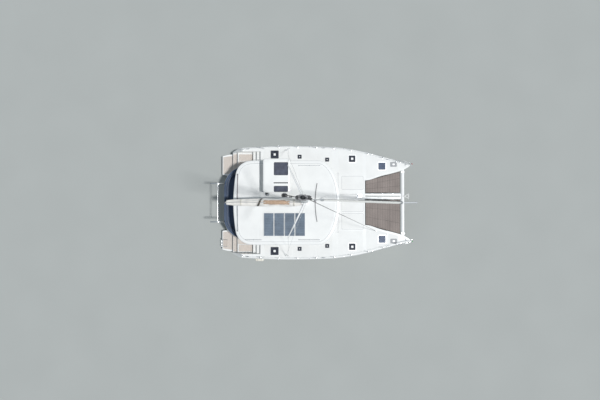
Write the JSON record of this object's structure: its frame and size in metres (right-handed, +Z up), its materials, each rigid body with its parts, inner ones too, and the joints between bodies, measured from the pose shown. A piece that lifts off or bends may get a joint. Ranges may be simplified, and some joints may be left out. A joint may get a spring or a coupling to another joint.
{
  "type": "cruising sailing catamaran",
  "caption": "Cruising sailing catamaran afloat with furled headsail, bagged mainsail on the boom, raised helm station, solar array, trampolines and working hatches, rudders and propellers.",
  "frame": {"origin": "on the waterline, amidships and on the centreline", "axes": "+X to the bows, +Y to port, +Z up"},
  "size_m": [13.6565, 7.66, 22.19],
  "materials": {
    "gelcoat": "glossy white gelcoat with off-white non-skid areas",
    "antifouling": "matt dark blue-grey paint below the waterline",
    "engine_paint": "grey paint",
    "bronze": "dull bronze",
    "tinted_acrylic": "smoked, glossy",
    "teak": "pale weathered planking with dark caulking",
    "alloy": "satin anodised",
    "cushion": "woven navy outdoor cloth",
    "joinery": "satin varnish",
    "steel": "polished stainless",
    "sailcloth": "rolled woven sailcloth",
    "bag_canvas": "sun-faded beige canvas",
    "net": "brown-grey woven net",
    "galvanised": "dull zinc",
    "solar_cells": "blue-grey cells under glass in a pale frame"
  },
  "bodies": {
    "root": {"hull_port": "gelcoat", "hull_starboard": "gelcoat", "bridgedeck": "gelcoat", "keel_port": "antifouling", "keel_starboard": "antifouling", "engine_and_saildrive_port": "engine_paint", "engine_and_saildrive_starboard": "engine_paint", "cabin_shell": "gelcoat", "cabin_glazing": "tinted_acrylic", "roof": "gelcoat", "cockpit_coaming": "gelcoat", "cockpit_bench": "gelcoat", "cockpit_cushions": "cushion", "cockpit_table": "joinery", "helm_station": "gelcoat", "helm_seat": "cushion", "helm_canopy": "gelcoat", "saloon_furniture": "joinery", "saloon_table": "joinery", "mast": "alloy", "spreaders": "alloy", "cap_shroud_port": "steel", "cap_shroud_starboard": "steel", "lower_shroud_port": "steel", "lower_shroud_starboard": "steel", "furled_headsail": "sailcloth", "furler_drum": "steel", "crossbeam": "gelcoat", "longeron": "gelcoat", "bowsprit": "alloy", "trampoline_port": "net", "trampoline_starboard": "net", "anchor": "galvanised", "windlass": "steel", "guard_rail_port": "steel", "guard_rail_starboard": "steel", "davits": "steel", "solar_array": "solar_cells", "jib_track": "steel", "traveller_track": "steel"},
    "sliding_door": {"sliding_door": "alloy"},
    "helm_wheel": {"helm_wheel": "steel"},
    "swim_ladder": {"swim_ladder": "steel"},
    "propeller_port": {"propeller_port": "bronze"},
    "rudder_port": {"rudder_port": "antifouling"},
    "engine_lid_port": {"engine_lid_port": "teak"},
    "hatch_lid_aft_port": {"hatch_lid_aft_port": "tinted_acrylic"},
    "hatch_lid_saloon_port": {"hatch_lid_saloon_port": "tinted_acrylic"},
    "hatch_lid_forward_port": {"hatch_lid_forward_port": "tinted_acrylic"},
    "propeller_starboard": {"propeller_starboard": "bronze"},
    "rudder_starboard": {"rudder_starboard": "antifouling"},
    "engine_lid_starboard": {"engine_lid_starboard": "teak"},
    "hatch_lid_aft_starboard": {"hatch_lid_aft_starboard": "tinted_acrylic"},
    "hatch_lid_saloon_starboard": {"hatch_lid_saloon_starboard": "tinted_acrylic"},
    "hatch_lid_forward_starboard": {"hatch_lid_forward_starboard": "tinted_acrylic"},
    "boom": {"boom": "alloy", "sail_bag": "bag_canvas"}
  },
  "joints": [
    {"name": "helm_wheel_turn", "type": "hinge", "parent": "root", "child": "helm_wheel", "pos_m": [-2.44, 1.6, 2.93], "axis": [1, 0, 0], "range_deg": [-330, 330]},
    {"name": "boom_swing", "type": "hinge", "parent": "root", "child": "boom", "pos_m": [-0.74304, 0, 4.4], "axis": [0, 0, 1], "range_deg": [-55, 55]},
    {"name": "door_slide", "type": "slide", "parent": "root", "child": "sliding_door", "axis": [0, -1, 0], "range_m": [0, 0.9]},
    {"name": "swim_ladder_fold", "type": "hinge", "parent": "root", "child": "swim_ladder", "pos_m": [-6.44, 0, 0.5], "axis": [0, 1, 0], "range_deg": [-270, 0]},
    {"name": "rudder_turn_port", "type": "hinge", "parent": "root", "child": "rudder_port", "pos_m": [-5.6, 2.62, -0.3], "axis": [0, 0, 1], "range_deg": [-36, 36]},
    {"name": "propeller_spin_port", "type": "hinge", "parent": "root", "child": "propeller_port", "pos_m": [-4.625, 2.62, -0.82], "axis": [1, 0, 0], "continuous": true},
    {"name": "engine_lid_lift_port", "type": "hinge", "parent": "root", "child": "engine_lid_port", "pos_m": [-4.18, 0, 1.05], "axis": [0, 1, 0], "range_deg": [0, 75]},
    {"name": "hatch_lift_aft_port", "type": "hinge", "parent": "root", "child": "hatch_lid_aft_port", "pos_m": [-2.36, 0, 1.83734], "axis": [0, 1, 0], "range_deg": [0, 85]},
    {"name": "hatch_lift_saloon_port", "type": "hinge", "parent": "root", "child": "hatch_lid_saloon_port", "pos_m": [2.78, 0, 1.95152], "axis": [0, 1, 0], "range_deg": [0, 85]},
    {"name": "hatch_lift_forward_port", "type": "hinge", "parent": "root", "child": "hatch_lid_forward_port", "pos_m": [4.785, 0, 1.99519], "axis": [0, 1, 0], "range_deg": [0, 85]},
    {"name": "rudder_turn_starboard", "type": "hinge", "parent": "root", "child": "rudder_starboard", "pos_m": [-5.6, -2.62, -0.3], "axis": [0, 0, 1], "range_deg": [-36, 36]},
    {"name": "propeller_spin_starboard", "type": "hinge", "parent": "root", "child": "propeller_starboard", "pos_m": [-4.625, -2.62, -0.82], "axis": [1, 0, 0], "continuous": true},
    {"name": "engine_lid_lift_starboard", "type": "hinge", "parent": "root", "child": "engine_lid_starboard", "pos_m": [-4.18, 0, 1.05], "axis": [0, 1, 0], "range_deg": [0, 75]},
    {"name": "hatch_lift_aft_starboard", "type": "hinge", "parent": "root", "child": "hatch_lid_aft_starboard", "pos_m": [-2.36, 0, 1.83734], "axis": [0, 1, 0], "range_deg": [0, 85]},
    {"name": "hatch_lift_saloon_starboard", "type": "hinge", "parent": "root", "child": "hatch_lid_saloon_starboard", "pos_m": [2.78, 0, 1.95152], "axis": [0, 1, 0], "range_deg": [0, 85]},
    {"name": "hatch_lift_forward_starboard", "type": "hinge", "parent": "root", "child": "hatch_lid_forward_starboard", "pos_m": [4.785, 0, 1.99519], "axis": [0, 1, 0], "range_deg": [0, 85]}
  ],
  "couplings": [
    {"joint": "rudder_turn_port", "follows": "helm_wheel_turn", "ratio": 0.106},
    {"joint": "rudder_turn_starboard", "follows": "helm_wheel_turn", "ratio": 0.106}
  ]
}
